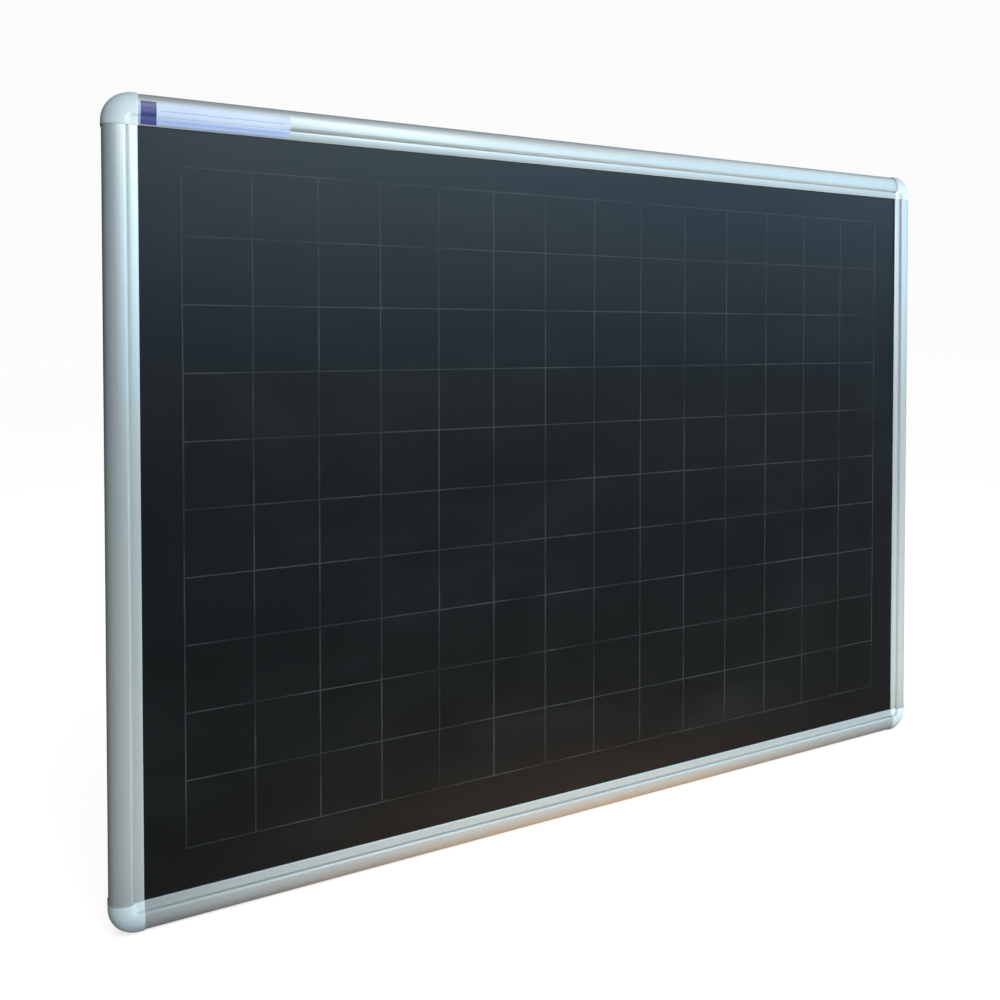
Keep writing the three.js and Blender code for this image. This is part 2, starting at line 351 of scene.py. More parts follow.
# Colours at places between 0 and 1, blended softly from one to the next.
def ramp(tree, value, stops):
    node = addNode(tree, "ShaderNodeValToRGB", {"Fac": value})
    node.color_ramp.interpolation = "EASE"
    elements = node.color_ramp.elements
    while len(elements) < len(stops):
        elements.new(0.5)
    for element, (place, colour) in zip(elements, stops):
        element.position = place
        element.color = (*colour, 1)
    return node.outputs["Color"]


def noise(tree, vector, scale, detail, roughness, output="Fac"):
    sockets = {"Vector": vector, "Scale": scale, "Detail": detail, "Roughness": roughness}
    return addNode(tree, "ShaderNodeTexNoise", sockets).outputs[output]


def cells(tree, vector, scale, output="Distance"):
    node = addNode(tree, "ShaderNodeTexVoronoi", {"Vector": vector, "Scale": scale})
    return node.outputs[output]


def scaled(tree, vector, factors):
    node = addNode(tree, "ShaderNodeMapping", {"Vector": vector, "Scale": factors})
    return node.outputs["Vector"]


def partsOf(tree, vector):
    return addNode(tree, "ShaderNodeSeparateXYZ", {"Vector": vector}).outputs


# A node group that takes a vector and named numbers, with what it is given and its end.
def newGroup(name, numbers, results):
    group = bpy.data.node_groups.new(name, "ShaderNodeTree")
    group.interface.new_socket("Vector", in_out="INPUT", socket_type="NodeSocketVector")
    for label, value in numbers.items():
        socket = group.interface.new_socket(label, in_out="INPUT", socket_type="NodeSocketFloat")
        socket.default_value = value
    for label in results:
        group.interface.new_socket(label, in_out="OUTPUT", socket_type="NodeSocketFloat")
    return group, addNode(group, "NodeGroupInput").outputs, addNode(group, "NodeGroupOutput")


# Fine lines drawn out along one direction: the vector comes in already stretched.
def makeDrawnLines():
    group, given, end = newGroup("drawnLines", {"Density": 900.0}, ("Lines", "Bands"))
    fine = noise(group, given["Vector"], scale=given["Density"], detail=3.0, roughness=0.6)
    wide = noise(group, given["Vector"], scale=90.0, detail=2.0, roughness=0.5)
    feedAll(group, end, {
        "Lines": ranged(group, fine, 0.3, 0.7),
        "Bands": ranged(group, wide, 0.3, 0.7, soft=True),
    })
    return group


# A moulded, sprayed or cast grain: a height for a bump and a slow mottling.
def makeGrain():
    group, given, end = newGroup("grain", {"Size": 0.4 * mm}, ("Height", "Mottle"))
    fineness = maths(group, "DIVIDE", 1.0, given["Size"])
    fine = noise(group, given["Vector"], scale=fineness, detail=2.0, roughness=0.55)
    pits = cells(group, given["Vector"], maths(group, "MULTIPLY", fineness, 0.6))
    slow = noise(group, given["Vector"], scale=14.0, detail=3.0, roughness=0.55)
    feedAll(group, end, {
        "Height": maths(group, "MULTIPLY_ADD", pits, 0.5, fine),
        "Mottle": ranged(group, slow, 0.35, 0.65, soft=True),
    })
    return group


# Faint smears and settled dust, as large soft patches with finer ones inside.
def makeHandling():
    group, given, end = newGroup("handling", {"Cover": 0.3}, ("Smears", "Specks"))
    patches = noise(group, given["Vector"], scale=9.0, detail=5.0, roughness=0.62)
    # More cover lowers the height from which a patch shows
    edge = maths(group, "SUBTRACT", 0.68, maths(group, "MULTIPLY", given["Cover"], 0.3))
    dots = cells(group, given["Vector"], 260.0)
    few = noise(group, given["Vector"], scale=160.0, detail=1.0, roughness=0.5)
    dotSize = ranged(group, few, 0.55, 0.75, 0.0, 0.22)
    feedAll(group, end, {
        "Smears": ranged(group, maths(group, "SUBTRACT", patches, edge), 0.0, 0.18, soft=True),
        "Specks": maths(group, "LESS_THAN", dots, dotSize),
    })
    return group


effects = {
    "drawnLines": makeDrawnLines(),
    "grain": makeGrain(),
    "handling": makeHandling(),
}

print("Finishes")


# A new material's node tree, its main shader and its object coordinates.
def newMaterial(name):
    material = bpy.data.materials.new(name)
    material.use_nodes = True
    tree = material.node_tree
    place = addNode(tree, "ShaderNodeTexCoord").outputs["Object"]
    return material, tree, tree.nodes["Principled BSDF"], place


def useEffect(tree, name, vector, **numbers):
    sockets = {"Vector": vector, **numbers}
    return addNode(tree, "ShaderNodeGroup", sockets, node_tree=effects[name]).outputs


def grainOf(tree, place, look):
    return useEffect(tree, "grain", place, Size=look["grainSize"])


def touchOf(tree, place, look):
    return useEffect(tree, "handling", place, Cover=look["smearCover"])


def bumpFrom(tree, height, depth):
    sockets = {"Height": height, "Distance": depth, "Strength": 1.0}
    return addNode(tree, "ShaderNodeBump", sockets).outputs["Normal"]


# Roughness between two values, that follows the grain's height.
def grainRoughness(tree, grain, roughness):
    return ranged(tree, grain["Height"], 0.3, 1.0, *roughness)


# In the looks below, a colour that is laid over others comes with its share.
railLook = {
    "bands": ((0.61, 0.62, 0.60), (0.66, 0.67, 0.65)),
    "fineLines": ((0.70, 0.71, 0.69), 0.3),
    "lineDensity": 1400.0,
    "lineStretch": 0.004,
    "lineDepth": 0.02 * mm,
    "smears": ((0.53, 0.56, 0.57), 0.15),
    "smearCover": 0.25,
    "smearDulling": 0.05,
    "roughness": (0.32, 0.44),
    "metallic": 0.5,
    "anisotropy": 0.3,
}


# Satin anodised extrusion, with its lines along X or along Z. The lines spread its gloss across
# them, so the shader's tangent goes round the rail's own direction.
def railFinish(name, axis):
    material, tree, shader, place = newMaterial(name)
    across = addNode(tree, "ShaderNodeTangent", direction_type="RADIAL", axis=axis)
    stretch = [railLook["lineStretch"] if letter == axis else 1.0 for letter in "XYZ"]
    lines = useEffect(tree, "drawnLines", scaled(tree, place, stretch),
                      Density=railLook["lineDensity"])
    touch = touchOf(tree, place, railLook)
    shade = mixColours(tree, lines["Bands"], *railLook["bands"])
    shade = layOver(tree, shade, lines["Lines"], *railLook["fineLines"])
    shade = layOver(tree, shade, touch["Smears"], *railLook["smears"])
    shine = ranged(tree, lines["Lines"], 0.0, 1.0, *railLook["roughness"])
    feedAll(tree, shader, {
        "Base Color": shade,
        "Roughness": maths(tree, "MULTIPLY_ADD", touch["Smears"], railLook["smearDulling"], shine),
        "Metallic": railLook["metallic"],
        "Anisotropic": railLook["anisotropy"],
        "Tangent": across.outputs["Tangent"],
        "Normal": bumpFrom(tree, lines["Lines"], railLook["lineDepth"]),
    })
    return material


capLook = {
    "mottling": ((0.66, 0.70, 0.70), (0.71, 0.74, 0.735)),
    "smears": ((0.55, 0.58, 0.56), 0.12),
    "smearCover": 0.3,
    "specks": ((0.42, 0.42, 0.40), 0.5),
    "grainSize": 0.5 * mm,
    "grainDepth": 0.03 * mm,
    "roughness": (0.40, 0.52),
    "depthShare": 0.08,  # how much of the light goes in below the surface
    "depthReach": (1.2 * mm, 1.4 * mm, 1.4 * mm),
}


# Pale moulded plastic with a fine spark-eroded grain.
def capFinish():
    material, tree, shader, place = newMaterial("mouldedPlastic")
    grain = grainOf(tree, place, capLook)
    touch = touchOf(tree, place, capLook)
    shade = mixColours(tree, grain["Mottle"], *capLook["mottling"])
    shade = layOver(tree, shade, touch["Smears"], *capLook["smears"])
    shade = layOver(tree, shade, touch["Specks"], *capLook["specks"])
    feedAll(tree, shader, {
        "Base Color": shade,
        "Roughness": grainRoughness(tree, grain, capLook["roughness"]),
        "Subsurface Weight": capLook["depthShare"],
        "Subsurface Radius": capLook["depthReach"],
        "Normal": bumpFrom(tree, grain["Height"], capLook["grainDepth"]),
    })
    return material


ruling = {
    "square": 50 * mm,
    "columns": 14,
    "rows": 10,
    "lineWidth": 1.0 * mm,
    "edgeBlur": 0.3,  # of half the width
    "centreX": 0.1 * mm,  # the printed grid sits a little off the board's middle
    "centreZ": 1.75 * mm,
}


# A mask of the printed lines that cross one axis.
def ruledLines(tree, across, along, count, otherCount):
    cell = ruling["square"]
    half = ruling["lineWidth"] / 2
    blur = half * ruling["edgeBlur"]
    # Lines fall on whole squares where the count is even
    distance = maths(tree, "PINGPONG", maths(tree, "ADD", across, count * cell), cell / 2)
    line = ranged(tree, distance, half + blur, half - blur, soft=True)
    for place, squares in ((across, count), (along, otherCount)):
        reach = squares * cell / 2 + half
        inside = maths(tree, "LESS_THAN", maths(tree, "ABSOLUTE", place), reach)
        line = maths(tree, "MULTIPLY", line, inside)
    return line


writingLook = {
    "mottling": ((0.0030, 0.0040, 0.0042), (0.0042, 0.0052, 0.0054)),
    "haze": (0.22, 0.23, 0.23),
    "hazeShare": 0.018,
    "lines": (0.033, 0.034, 0.034),
    "linesLeft": 0.25,  # what is left of them where they are most worn
    "lineDulling": 0.12,
    "smearCover": 0.45,
    "smearDulling": 0.06,
    "grainSize": 0.45 * mm,
    "grainDepth": 0.012 * mm,
    "roughness": (0.26, 0.34),
    "specular": 0.56,
}


# Near-black chalk lacquer with a printed grid and the last of some wiped chalk.
def writingFinish():
    material, tree, shader, place = newMaterial("chalkLacquer")
    grain = grainOf(tree, place, writingLook)
    touch = touchOf(tree, place, writingLook)
    parts = partsOf(tree, place)
    x = maths(tree, "SUBTRACT", parts["X"], ruling["centreX"])
    z = maths(tree, "SUBTRACT", parts["Z"], ruling["centreZ"])
    upright = ruledLines(tree, x, z, ruling["columns"], ruling["rows"])
    level = ruledLines(tree, z, x, ruling["rows"], ruling["columns"])
    worn = noise(tree, place, scale=16.0, detail=4.0, roughness=0.6)
    ink = ranged(tree, worn, 0.34, 0.66, writingLook["linesLeft"], 1.0, soft=True)
    lines = maths(tree, "MULTIPLY", maths(tree, "MAXIMUM", upright, level), ink)
    wipes = noise(tree, scaled(tree, place, (1.0, 1.0, 5.0)), scale=4.0, detail=5.0, roughness=0.6)
    haze = ranged(tree, wipes, 0.45, 0.8, 0.0, writingLook["hazeShare"], soft=True)
    shade = mixColours(tree, grain["Mottle"], *writingLook["mottling"])
    shade = mixColours(tree, haze, shade, writingLook["haze"])
    shine = grainRoughness(tree, grain, writingLook["roughness"])
    shine = maths(tree, "MULTIPLY_ADD", touch["Smears"], writingLook["smearDulling"], shine)
    feedAll(tree, shader, {
        "Base Color": mixColours(tree, lines, shade, writingLook["lines"]),
        "Roughness": maths(tree, "MULTIPLY_ADD", lines, writingLook["lineDulling"], shine),
        "Specular IOR Level": writingLook["specular"],
        "Normal": bumpFrom(tree, grain["Height"], writingLook["grainDepth"]),
    })
    return material


coreLook = {
    "fibres": ((0.20, 0.12, 0.065), (0.36, 0.24, 0.14)),
    "mottling": ((0.28, 0.18, 0.10), 0.3),
    "grainSize": 0.9 * mm,
    "fibreDepth": 0.12 * mm,
    "roughness": 0.85,
}


# Raw brown fibreboard.
def coreFinish():
    material, tree, shader, place = newMaterial("fibreboard")
    grain = grainOf(tree, place, coreLook)
    layered = scaled(tree, place, (1.0, 6.0, 1.0))
    fibres = noise(tree, layered, scale=420.0, detail=4.0, roughness=0.7)
    shade = mixColours(tree, ranged(tree, fibres, 0.35, 0.65), *coreLook["fibres"])
    feedAll(tree, shader, {
        "Base Color": layOver(tree, shade, grain["Mottle"], *coreLook["mottling"]),
        "Roughness": coreLook["roughness"],
        "Normal": bumpFrom(tree, fibres, coreLook["fibreDepth"]),
    })
    return material


backingLook = {
    "crystals": ((0.50, 0.515, 0.53), (0.60, 0.615, 0.63)),
    "crystalScale": 140.0,
    "crystalBend": 3 * mm,
    "crystalDepth": 0.01 * mm,
    "rolling": ((0.50, 0.52, 0.53), 0.12),
    "rollingDensity": 500.0,
    "rollingStretch": 0.03,
    "smears": ((0.62, 0.62, 0.60), 0.25),
    "smearCover": 0.5,
    "smearDulling": 0.12,
    "roughness": (0.36, 0.46),
    "metallic": 0.85,
}


# Galvanised sheet: spangle crystals, each with its own tone and gloss.
def backingFinish():
    material, tree, shader, place = newMaterial("galvanisedSheet")
    bent = noise(tree, place, scale=60.0, detail=3.0, roughness=0.6, output="Color")
    wobble = addNode(tree, "ShaderNodeVectorMath",
                     {0: bent, 1: (backingLook["crystalBend"],) * 3, 2: place},
                     operation="MULTIPLY_ADD")
    crystals = cells(tree, wobble.outputs["Vector"], backingLook["crystalScale"], "Color")
    tone = addNode(tree, "ShaderNodeSeparateColor", {0: crystals}).outputs
    along = scaled(tree, place, (backingLook["rollingStretch"], 1.0, 1.0))
    rolled = useEffect(tree, "drawnLines", along, Density=backingLook["rollingDensity"])
    touch = touchOf(tree, place, backingLook)
    shade = mixColours(tree, tone[0], *backingLook["crystals"])
    shade = layOver(tree, shade, rolled["Lines"], *backingLook["rolling"])
    shade = layOver(tree, shade, touch["Smears"], *backingLook["smears"])
    shine = ranged(tree, tone[1], 0.0, 1.0, *backingLook["roughness"])
    dulling = backingLook["smearDulling"]
    feedAll(tree, shader, {
        "Base Color": shade,
        "Roughness": maths(tree, "MULTIPLY_ADD", touch["Smears"], dulling, shine),
        "Metallic": backingLook["metallic"],
        "Normal": bumpFrom(tree, tone[2], backingLook["crystalDepth"]),
    })
    return material


platedLook = {
    "zincPlate": {"mottling": ((0.60, 0.62, 0.64), (0.68, 0.68, 0.66)),
                  "roughness": (0.22, 0.36)},
    "nickelPlate": {"mottling": ((0.66, 0.64, 0.60), (0.72, 0.70, 0.66)),
                    "roughness": (0.16, 0.28)},
    "smears": ((0.45, 0.42, 0.37), 0.35),
    "smearCover": 0.4,
    "smearScale": (6, 6, 6),
    "grainSize": 0.35 * mm,
    "grainDepth": 0.006 * mm,
}


# Zinc or nickel plate, told apart by colour and gloss.
def platedFinish(name):
    material, tree, shader, place = newMaterial(name)
    grain = grainOf(tree, place, platedLook)
    touch = touchOf(tree, scaled(tree, place, platedLook["smearScale"]), platedLook)
    shade = mixColours(tree, grain["Mottle"], *platedLook[name]["mottling"])
    feedAll(tree, shader, {
        "Base Color": layOver(tree, shade, touch["Smears"], *platedLook["smears"]),
        "Roughness": grainRoughness(tree, grain, platedLook[name]["roughness"]),
        "Metallic": 1.0,
        "Normal": bumpFrom(tree, grain["Height"], platedLook["grainDepth"]),
    })
    return material


labelLook = {
    "mottling": ((0.54, 0.58, 0.70), (0.60, 0.64, 0.75)),
    "tint": (0.33, 0.39, 0.60),
    "tintShare": 0.75,
    "tintEdge": (-16.5 * mm, -18.5 * mm),  # down from the board's top, as are the rules
    "ruleHeights": (-22.2 * mm, -19.4 * mm, -12.6 * mm),
    "ruleWidth": 0.7 * mm,
    "ruleReach": (14 * mm, 102 * mm),  # from the label's left end, as is the band
    "rules": ((0.22, 0.26, 0.50), 0.55),
    "bandReach": (0.6 * mm, 11.2 * mm),
    "band": (0.060, 0.055, 0.20),
    "grainSize": 0.6 * mm,
    "creaseDepth": 0.02 * mm,
    "roughness": (0.12, 0.20),
}


# Lavender film with a plain dark band and blank rules.
def labelFinish():
    material, tree, shader, place = newMaterial("labelFilm")
    parts = partsOf(tree, place)
    fromLeft = maths(tree, "SUBTRACT", parts["X"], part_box("blank_label")[0].x)
    down = maths(tree, "SUBTRACT", parts["Z"], boardHeight / 2)
    rules = 0.0
    for height in labelLook["ruleHeights"]:
        away = maths(tree, "ABSOLUTE", maths(tree, "SUBTRACT", down, height))
        rule = maths(tree, "LESS_THAN", away, labelLook["ruleWidth"] / 2)
        rules = maths(tree, "MAXIMUM", rules, rule)
    along = between(tree, fromLeft, *labelLook["ruleReach"])
    rules = maths(tree, "MULTIPLY", rules, along)
    band = between(tree, fromLeft, *labelLook["bandReach"])
    tint = ranged(tree, down, *labelLook["tintEdge"], 0.0, labelLook["tintShare"], soft=True)
    grain = grainOf(tree, place, labelLook)
    drawn = scaled(tree, place, (1.0, 3.0, 3.0))
    creases = noise(tree, drawn, scale=120.0, detail=3.0, roughness=0.6)
    shade = mixColours(tree, grain["Mottle"], *labelLook["mottling"])
    shade = mixColours(tree, tint, shade, labelLook["tint"])
    shade = layOver(tree, shade, rules, *labelLook["rules"])
    feedAll(tree, shader, {
        "Base Color": mixColours(tree, band, shade, labelLook["band"]),
        "Roughness": ranged(tree, creases, 0.35, 0.65, *labelLook["roughness"]),
        "Normal": bumpFrom(tree, creases, labelLook["creaseDepth"]),
    })
    return material


finishes = {
    "railAlongX": railFinish("anodisedAlongX", "X"),
    "railAlongZ": railFinish("anodisedAlongZ", "Z"),
    "cap": capFinish(),
    "writing": writingFinish(),
    "core": coreFinish(),
    "backing": backingFinish(),
    "label": labelFinish(),
    "screw": platedFinish("zincPlate"),
    "hanger": platedFinish("nickelPlate"),
}

# The panel's three flat layers keep their own solids and only take their finish
for node, finish in (("writing_sheet", "writing"), ("core_board", "core"),
                     ("backing_sheet", "backing")):
    layer = frame["nodes"][node]
    layer.data.materials.clear()
    layer.data.materials.append(finishes[finish])

print("Rails")
rail = {
    "crownWidth": 16.2 * mm,
    "crownFall": 8.5 * mm,  # from the crown's highest line down to the straight outer side
    "flankRound": 1.8 * mm,
    "lipThickness": 1.5 * mm,
    "lipFall": 0.9 * mm,  # from the lip's highest line back to its inner edge
    "shoulderWidth": 2.6 * mm,  # over which the lip curves back to the crown's foot
    "shoulderFall": 0.8 * mm,
    "panelPlay": 0.3 * mm,
    "rearLipReach": 5 * mm,
    "rearLipThickness": 1.2 * mm,
    "wall": 1.2 * mm,
    "footHeight": 2.4 * mm,
    "footWidth": 2 * mm,
    "edgeRound": 0.1 * mm,
    "screwHole": 1.7 * mm,
    "screwInset": 11 * mm,
    "crownSteps": 40,
    "roundSteps": 12,
}
crownPeak = rail["crownWidth"] - rail["flankRound"]
lipPeak = rail["crownWidth"] + rail["shoulderWidth"]
lipBack = writingFace + rail["panelPlay"]
lipFront = lipBack + rail["lipThickness"]
rearLipFront = backingBack - rail["panelPlay"]
rearLipBack = rearLipFront - rail["rearLipThickness"]
seam = railLow.x + boardWidth / 2  # from the board's side to the end of its rails


# The crown from the outer side to the flank, moved off the rail's own by an offset. Each point is
# how far it lies inwards from the outer side and forwards from the wall.
def crownLine(offset):
    outer = arcPoints(crownPeak, railDepth - rail["crownFall"], crownPeak + offset,
                      rail["crownFall"] + offset, 180, 90, rail["crownSteps"])
    reach = rail["flankRound"] + offset
    inner = arcPoints(crownPeak, railDepth - rail["flankRound"], reach, reach,
                      90, 0, rail["roundSteps"])
    return outer + inner[1:]


# The lip's long curve towards the board, moved off it by an offset, between two angles.
def lipLine(offset, start, end):
    return arcPoints(lipPeak, lipFront - rail["lipFall"], railFace - lipPeak + offset,
                     rail["lipFall"] + offset, start, end, rail["roundSteps"])


def railOutline():
    width, foot = rail["crownWidth"], rail["footWidth"]
    rear = width + rail["rearLipReach"]
    return [
        (0, 0),
        *crownLine(0),
        *arcPoints(lipPeak, lipFront - rail["shoulderFall"], rail["shoulderWidth"],
                   rail["shoulderFall"], 180, 90, rail["roundSteps"]),
        *lipLine(0, 90, 0)[1:],
        (railFace, lipBack),
        (width, lipBack),
        (width, rearLipFront),
        (rear, rearLipFront),
        (rear, rearLipBack),
        (width, rearLipBack),
        (width, 0),
        (width - foot, 0),
        (width - foot, rail["footHeight"]),
        (foot, rail["footHeight"]),
        (foot, 0),
    ]


def chamberOutline(play):
    inset = rail["wall"] + play
    floor = rail["footHeight"] + inset
    return [(inset, floor), *crownLine(-inset), (rail["crownWidth"] - inset, floor)]


def acrossX(x, outline):
    return [Vector((x, -forward, inward)) for inward, forward in outline]


# A rail along X, its middle at 0 and its outer side at Z = 0.
def makeRail(name, length):
    half = length / 2
    piece = prism(name, acrossX(-half, railOutline()), Vector((length, 0, 0)))
    soften(piece, rail["edgeRound"])
    over = 5 * mm
    chamber = prism("chamber", acrossX(-half - over, chamberOutline(0)),
                    Vector((length + 2 * over, 0, 0)))
    combine(piece, chamber, "DIFFERENCE")
    for side in (-1, 1):
        drill(piece, rail["screwHole"], side * (half - rail["screwInset"]),
              rail["crownWidth"] / 2, -rail["footHeight"] - 2 * rail["wall"], 0)
    smooth(piece)
    return piece


longRail = makeRail("longRail", railHigh.x - railLow.x)
shortRail = makeRail("shortRail", sideHigh.z - sideLow.z)
railPlaces = [
    ("bottom_rail", longRail, 0, boardHeight, "railAlongX"),
    ("right_rail", shortRail, -quarterTurn, boardWidth, "railAlongZ"),
    ("top_rail", longRail, 2 * quarterTurn, boardHeight, "railAlongX"),
    ("left_rail", shortRail, quarterTurn, boardWidth, "railAlongZ"),
]
for node, model, turn, across, finish in railPlaces:
    outwards = Matrix.Rotation(turn, 4, "Y") @ Vector((0, 0, -across / 2))
    piece = placedCopy(model, pieceName(node), turn, outwards)
    finishPiece(piece, "board", node, finishes[finish])
bpy.data.objects.remove(longRail)
bpy.data.objects.remove(shortRail)

print("Corner caps")
cap = {
    "cornerStraight": 2.5 * mm,
    "fillet": 1 * mm,  # between the flank and the lip
    "edgeRound": 0.12 * mm,
    "seamReach": 0.24 * mm,  # how far the fitted cap closes up to the rail's end
    "wall": 1.8 * mm,
    "endWall": 3.5 * mm,
    "rib": 1.6 * mm,
    "tongueLength": 22 * mm,
    "tonguePlay": 0.3 * mm,
    "leadLength": 4 * mm,  # the tapered end of the tongue
    "leadTaper": 0.82,  # its tip against its start
    "screwDepth": 10 * mm,
    "cornerSteps": 30,
    "filletSteps": 8,
}
cornerRadius = railFace - cap["cornerStraight"]


def capLine():
    fillet = cap["fillet"]
    foot = rail["crownWidth"] + capProud + fillet
    turnedIn = arcPoints(foot, lipFront + fillet, fillet, fillet, 180, 270, cap["filletSteps"])
    return [*crownLine(capProud), *turnedIn]


# A quarter of a turned solid: the outline stands across X at the corner's middle and turns from
# the leg along X to the leg along Z. The spin operator turns against the right-hand rule.
def quarterTurning(name, outline):
    solid = drawFace(name, acrossX(cornerRadius, outline))
    centre = (cornerRadius, 0, cornerRadius)
    bpy.ops.mesh.spin(steps=cap["cornerSteps"], angle=-quarterTurn, center=centre, axis=(0, 1, 0))
    weld()
    return solid


# A cap for the corner where X and Z are 0 on the rails' outer sides.
def makeCap():
    outline = [(-capProud, 0), *capLine(), (cornerRadius, lipFront), (cornerRadius, 0)]
    piece = quarterTurning("cap", outline)
    straight = cap["cornerStraight"] + cap["seamReach"]
    for axis in (0, 2):
        pickFaces(axis, cornerRadius)
        step = Vector((0, 0, 0))
        step[axis] = straight
        extrude(step)
    # The square of lip between the two legs
    pickFaces(2, cornerRadius, beyond=cornerRadius)
    extrude(Vector((0, 0, straight)))
    pickFaces(0, cornerRadius)
    bpy.ops.mesh.delete(type="FACE")
    weld()
    stopEditing()
    soften(piece, cap["edgeRound"])

    # Room for the panel's corner and for the rear lip
    width, rear, far = rail["crownWidth"], rail["crownWidth"] + rail["rearLipReach"], 60 * mm
    pockets = [
        ((width, -lipBack, width), (far, -rearLipFront, far)),
        ((width, -rearLipBack, width), (far, far, far)),
        ((rear, -lipBack, rear), (far, far, far)),
    ]
    for low, high in pockets:
        combine(piece, blockBetween("pocket", low, high), "DIFFERENCE")

    # A tongue on each leg, tapered to enter its rail, with a blind hole for the screw
    root = railFace - cap["cornerStraight"] / 2
    reach = railFace + cap["tongueLength"]
    leadStart = reach - cap["leadLength"]
    tongueMiddle = Vector((reach, -(railDepth + rail["footHeight"]) / 2, width / 2))
    for leg in (0, 1):
        tongue = prism("tongue", acrossX(root, chamberOutline(cap["tonguePlay"])),
                       Vector((leadStart - root, 0, 0)))
        startEditing(tongue)
        pickFaces(0, leadStart)
        extrude(Vector((cap["leadLength"], 0, 0)))
        taper = cap["leadTaper"]
        bpy.ops.transform.resize(value=(1, taper, taper), center_override=tongueMiddle)
        stopEditing()
        drill(tongue, rail["screwHole"], seam + rail["screwInset"], width / 2,
              -rail["footHeight"] - cap["screwDepth"], 0)
        if leg:
            # The other leg is its mirror image across the corner
            swap = Matrix(((0, 0, 1, 0), (0, 1, 0, 0), (1, 0, 0, 0), (0, 0, 0, 1)))
            tongue.matrix_world = swap
            startEditing(settle(tongue))
            weld()
            stopEditing()
        combine(piece, tongue, "UNION")

    # The hollow behind the crown, in two halves either side of a rib
    inner = cornerRadius - (cornerRadius - width) * math.sqrt(2) - cap["wall"]
    radius = crownPeak + capProud - cap["wall"]
    lean = math.degrees(math.acos((crownPeak - inner) / radius))
    roof = arcPoints(crownPeak, railDepth - rail["crownFall"], radius,
                     rail["crownFall"] + capProud - cap["wall"], 180, 180 - lean,
                     rail["roundSteps"])
    behind = -1 * mm
    hollow = quarterTurning("hollow", [(crownPeak - radius, behind), *roof, (inner, behind)])
    stopEditing()
    shortBy = cap["endWall"] - cap["cornerStraight"]
    keep = cornerRadius - shortBy
    combine(hollow, blockBetween("keep", (-far, -far, -far), (keep, far, keep)), "INTERSECT")
    rib = blockBetween("rib", (-far, -far, -cap["rib"] / 2), (far, far, cap["rib"] / 2))
    rib.matrix_world = (Matrix.Translation((cornerRadius, 0, cornerRadius))
                        @ Matrix.Rotation(-quarterTurn / 2, 4, "Y"))
    combine(hollow, settle(rib), "DIFFERENCE")
    combine(piece, hollow, "DIFFERENCE")
    smooth(piece)
    return piece


capModel = makeCap()
halfWidth, halfHeight = boardWidth / 2, boardHeight / 2
capPlaces = [
    ("bottom_left_cap", 0, (-halfWidth, 0, -halfHeight)),
    ("bottom_right_cap", -quarterTurn, (halfWidth, 0, -halfHeight)),
    ("top_right_cap", 2 * quarterTurn, (halfWidth, 0, halfHeight)),
    ("top_left_cap", quarterTurn, (-halfWidth, 0, halfHeight)),
]
for node, turn, place in capPlaces:
    piece = placedCopy(capModel, pieceName(node), turn, place)
    finishPiece(piece, "board", node, finishes["cap"])
bpy.data.objects.remove(capModel)

print("Label")
label = {
    "lipMargin": 1 * mm,
    "crownReach": 8.1 * mm,
    "gap": 0.05 * mm,
    "thickness": 0.15 * mm,
}


def makeLabel():
    low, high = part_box("blank_label")
    offset = label["gap"] + label["thickness"] / 2
    end = 90 + math.degrees(math.asin(label["crownReach"] / (crownPeak + offset)))
    flank = rail["flankRound"] + offset
    lipReach = railFace - lipPeak
    start = math.degrees(math.acos((lipReach - label["lipMargin"]) / (lipReach + offset)))
    line = [
        *lipLine(offset, start, 90),
        (rail["crownWidth"] + offset, lipFront + offset),
        *arcPoints(crownPeak, railDepth - rail["flankRound"], flank, flank, 0, 90,
                   rail["roundSteps"]),
        *arcPoints(crownPeak, railDepth - rail["crownFall"], crownPeak + offset,
                   rail["crownFall"] + offset, 90, end, rail["crownSteps"] // 2)[1:],
    ]
    # The top rail hangs its section down from the board's top
    points = [Vector((low.x, -forward, boardHeight / 2 - inward)) for inward, forward in line]
    piece = ribbon("label", points, Vector((high.x - low.x, 0, 0)), label["thickness"])
    smooth(piece)
    return piece


finishPiece(makeLabel(), "board", "blank_label", finishes["label"])

print("Screws")
screws = {
    "rail": {"shank": 1.45 * mm, "head": 2.8 * mm, "headHeight": 1.9 * mm,
             "length": 9 * mm, "tip": 2.5 * mm},
    "hanger": {"shank": 1.5 * mm, "head": 3 * mm, "headHeight": 1.7 * mm,
               "length": 6.5 * mm, "tip": 2 * mm},
    "core": 0.72,  # the thread's root against its crest
    "point": 0.2,  # the tip's end against the thread's root
    "runOut": 0.4 * mm,  # where the shank widens under the head
    "rim": 0.25,  # how much of the head's height stands straight below its dome
    "rimBevel": 0.1 * mm,
    "pitch": 1.1 * mm,
    "ridge": 0.66,  # how wide the thread's foot is against its pitch
    "ridgeStart": 0.2,  # how far up from the tip it starts, against the pitch
    "ridgeSunk": 0.15 * mm,  # into the thread's root, to join it
    "threadSteps": 24,
    "recessWidth": 0.8 * mm,
    "recessSpan": 3.4 * mm,
    "recessDepth": 1.1 * mm,
    "recessTaper": (0.55, 1, 0.8),  # its floor against its mouth
    "sides": 40,
    "domeSteps": 10,
    "driven": (481, 259),  # how many degrees a screw is turned by each metre along X and Z
}


